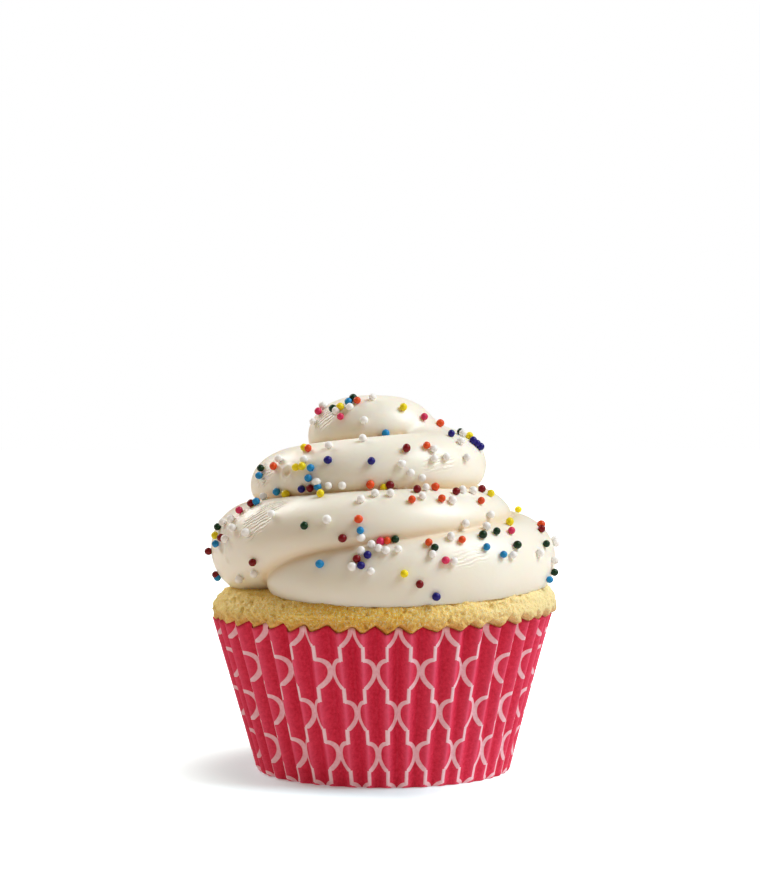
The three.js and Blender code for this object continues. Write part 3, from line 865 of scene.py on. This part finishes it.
def scattered(taken, count):
    """More places for balls: over the back and the far sides, as thick as at the front."""
    normals = vertex_normals(points, faces)
    behind = normals[:, 1] - 0.08 * normals[:, 2] > 0.45 - 0.15 * np.abs(normals[:, 0])
    hidden = behind & (normals[:, 2] > -0.45) & (points[:, 2] > 39.5)
    pool = points[hidden] + normals[hidden] * 0.62
    out, taken = [], list(taken)
    for i in RNG.permutation(len(pool)):
        p = pool[i]
        if np.min(np.linalg.norm(np.array(taken) - p, axis=1)) > 1.75:
            out.append(p)
            taken.append(p)
            if len(out) == count:
                break
    return np.array(out)


def sprinkles():
    ball = bmesh.new()
    bmesh.ops.create_icosphere(ball, subdivisions=3, radius=1.0)
    unit = np.array([v.co[:] for v in ball.verts])
    tris = np.array([[v.index for v in f.verts] for f in ball.faces])
    ball.free()
    places = {}
    for kind, rows in SPRINKLES.items():
        a, r, z = np.array(rows, float).T
        places[kind] = settled(round_points(a, r, z))
    more = scattered(np.concatenate(list(places.values())), SPRINKLES_MORE)
    share = np.array([len(p) for p in places.values()], float)
    pick = RNG.choice(len(share), len(more), p=share / share.sum())
    for i, (kind, at) in enumerate(places.items()):
        at = np.concatenate([at, settled(more[pick == i])]) if (pick == i).any() else at
        n = len(at)
        size = SPRINKLE_RADIUS * RNG.uniform(0.92, 1.08, (n, 1, 1)) * RNG.uniform(0.95, 1.05, (n, 1, 3))
        pts = at[:, None, :] + unit[None] * size
        shape = tris[None] + (np.arange(n) * len(unit))[:, None, None]
        ob = make_mesh("sprinkles_" + kind, pts.reshape(-1, 3), shape.reshape(-1, 3),
                       sprinkle_material(kind, SUGAR[kind]))
        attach(ob, "root")
        print("sprinkles", kind, n, len(tris) * n)


sprinkles()


# ------------------------------------------------------------------ stage ---

FLOOR_GLOW = (0.225, 1.0)               # how bright the floor looks of itself, near the cupcake and far off; dimmer near the cupcake as a painted contact shadow
FLOOR_FILL = 0.20                      # and as it lights the cupcake
WORLD_LIGHT = (0.222, 0.155, 0.089)     # light from all round


def floor_material():
    n = Nodes("studio_floor")
    seen = n.add("ShaderNodeLightPath").outputs["Is Camera Ray"]
    # the camera sees a cooler floor colour, which hides the pink light the paper bounces into its shadow; other rays
    # meet a warmer colour, so the floor bounces warm light onto the cupcake
    n.set(color=n.mix(seen, (0.74, 0.68, 0.62), (0.60, 0.82, 0.87)), rough=0.5, specular=0.2)
    n.bsdf.inputs["Emission Color"].default_value = (1, 1, 1, 1)
    x, y, z = n.parts(n.place())
    far = n.math("SQRT", n.math("ADD", n.math("MULTIPLY", x, x), n.math("MULTIPLY", y, y)))
    # painted shadow: the floor's glow is dimmer close to the cupcake
    glow = n.add("ShaderNodeMapRange")
    n.link(far, glow.inputs[0])
    glow.interpolation_type = "SMOOTHSTEP"
    glow.inputs[1].default_value, glow.inputs[2].default_value = 0.028, 0.056
    glow.inputs[3].default_value, glow.inputs[4].default_value = FLOOR_GLOW
    # painted light: the floor's glow is brighter towards the right of the cupcake
    bright = n.math("ADD", glow.outputs[0], n.math("MULTIPLY", n.ramp(x, 0.004, 0.026), 0.55))
    lit = n.math("MULTIPLY", n.math("SUBTRACT", 1.0, seen), FLOOR_FILL)
    n.link(n.math("ADD", n.math("MULTIPLY", seen, bright), lit), n.bsdf.inputs["Emission Strength"])
    return n.m


def build_stage():
    s = 4.0
    floor = make_mesh("studio_floor", np.array([(-s, -s, 0), (s, -s, 0), (s, s, 0), (-s, s, 0)]) / MM,
                      np.array([[0, 1, 2, 3]]), floor_material())

    world = bpy.data.worlds.new("studio")
    bpy.context.scene.world = world
    world.use_nodes = True
    t = world.node_tree
    back = t.nodes["Background"]
    path = t.nodes.new("ShaderNodeLightPath")
    tint = t.nodes.new("ShaderNodeMix")
    tint.data_type = "RGBA"
    t.links.new(path.outputs["Is Camera Ray"], tint.inputs[0])
    tint.inputs[6].default_value = (*WORLD_LIGHT, 1)
    tint.inputs[7].default_value = (1, 1, 1, 1)
    t.links.new(tint.outputs[2], back.inputs["Color"])
    back.inputs["Strength"].default_value = 1.0

    def area(name, at, size, power, color=(1, 1, 1)):
        light = bpy.data.lights.new(name, "AREA")
        light.shape = "RECTANGLE"
        light.size, light.size_y = size
        light.energy = power
        light.color = color
        ob = bpy.data.objects.new(name, light)
        bpy.context.scene.collection.objects.link(ob)
        ob.location = at
        ob.rotation_euler = (Vector((0, 0, 0.045)) - Vector(at)).to_track_quat("-Z", "Y").to_euler()

    area("key_right", (0.54, -0.12, 0.66), (0.44, 0.44), 6.45, (0.92, 1.0, 1.06))
    area("rim_left", (-0.46, 0.38, 0.52), (0.40, 0.40), 3.4)

    cam = bpy.data.cameras.new("camera")
    cam.lens, cam.sensor_width = 89.61, 36.0
    cam.clip_start, cam.clip_end = 0.01, 50
    ob = bpy.data.objects.new("camera", cam)
    bpy.context.scene.collection.objects.link(ob)
    ob.location = (-0.0009, -0.456, 0.073)
    ob.rotation_euler = (math.radians(90 - 0.75), 0, 0)
    bpy.context.scene.camera = ob
    bpy.context.scene.view_settings.view_transform = "Standard"
    bpy.context.scene.view_settings.look = "None"


build_stage()
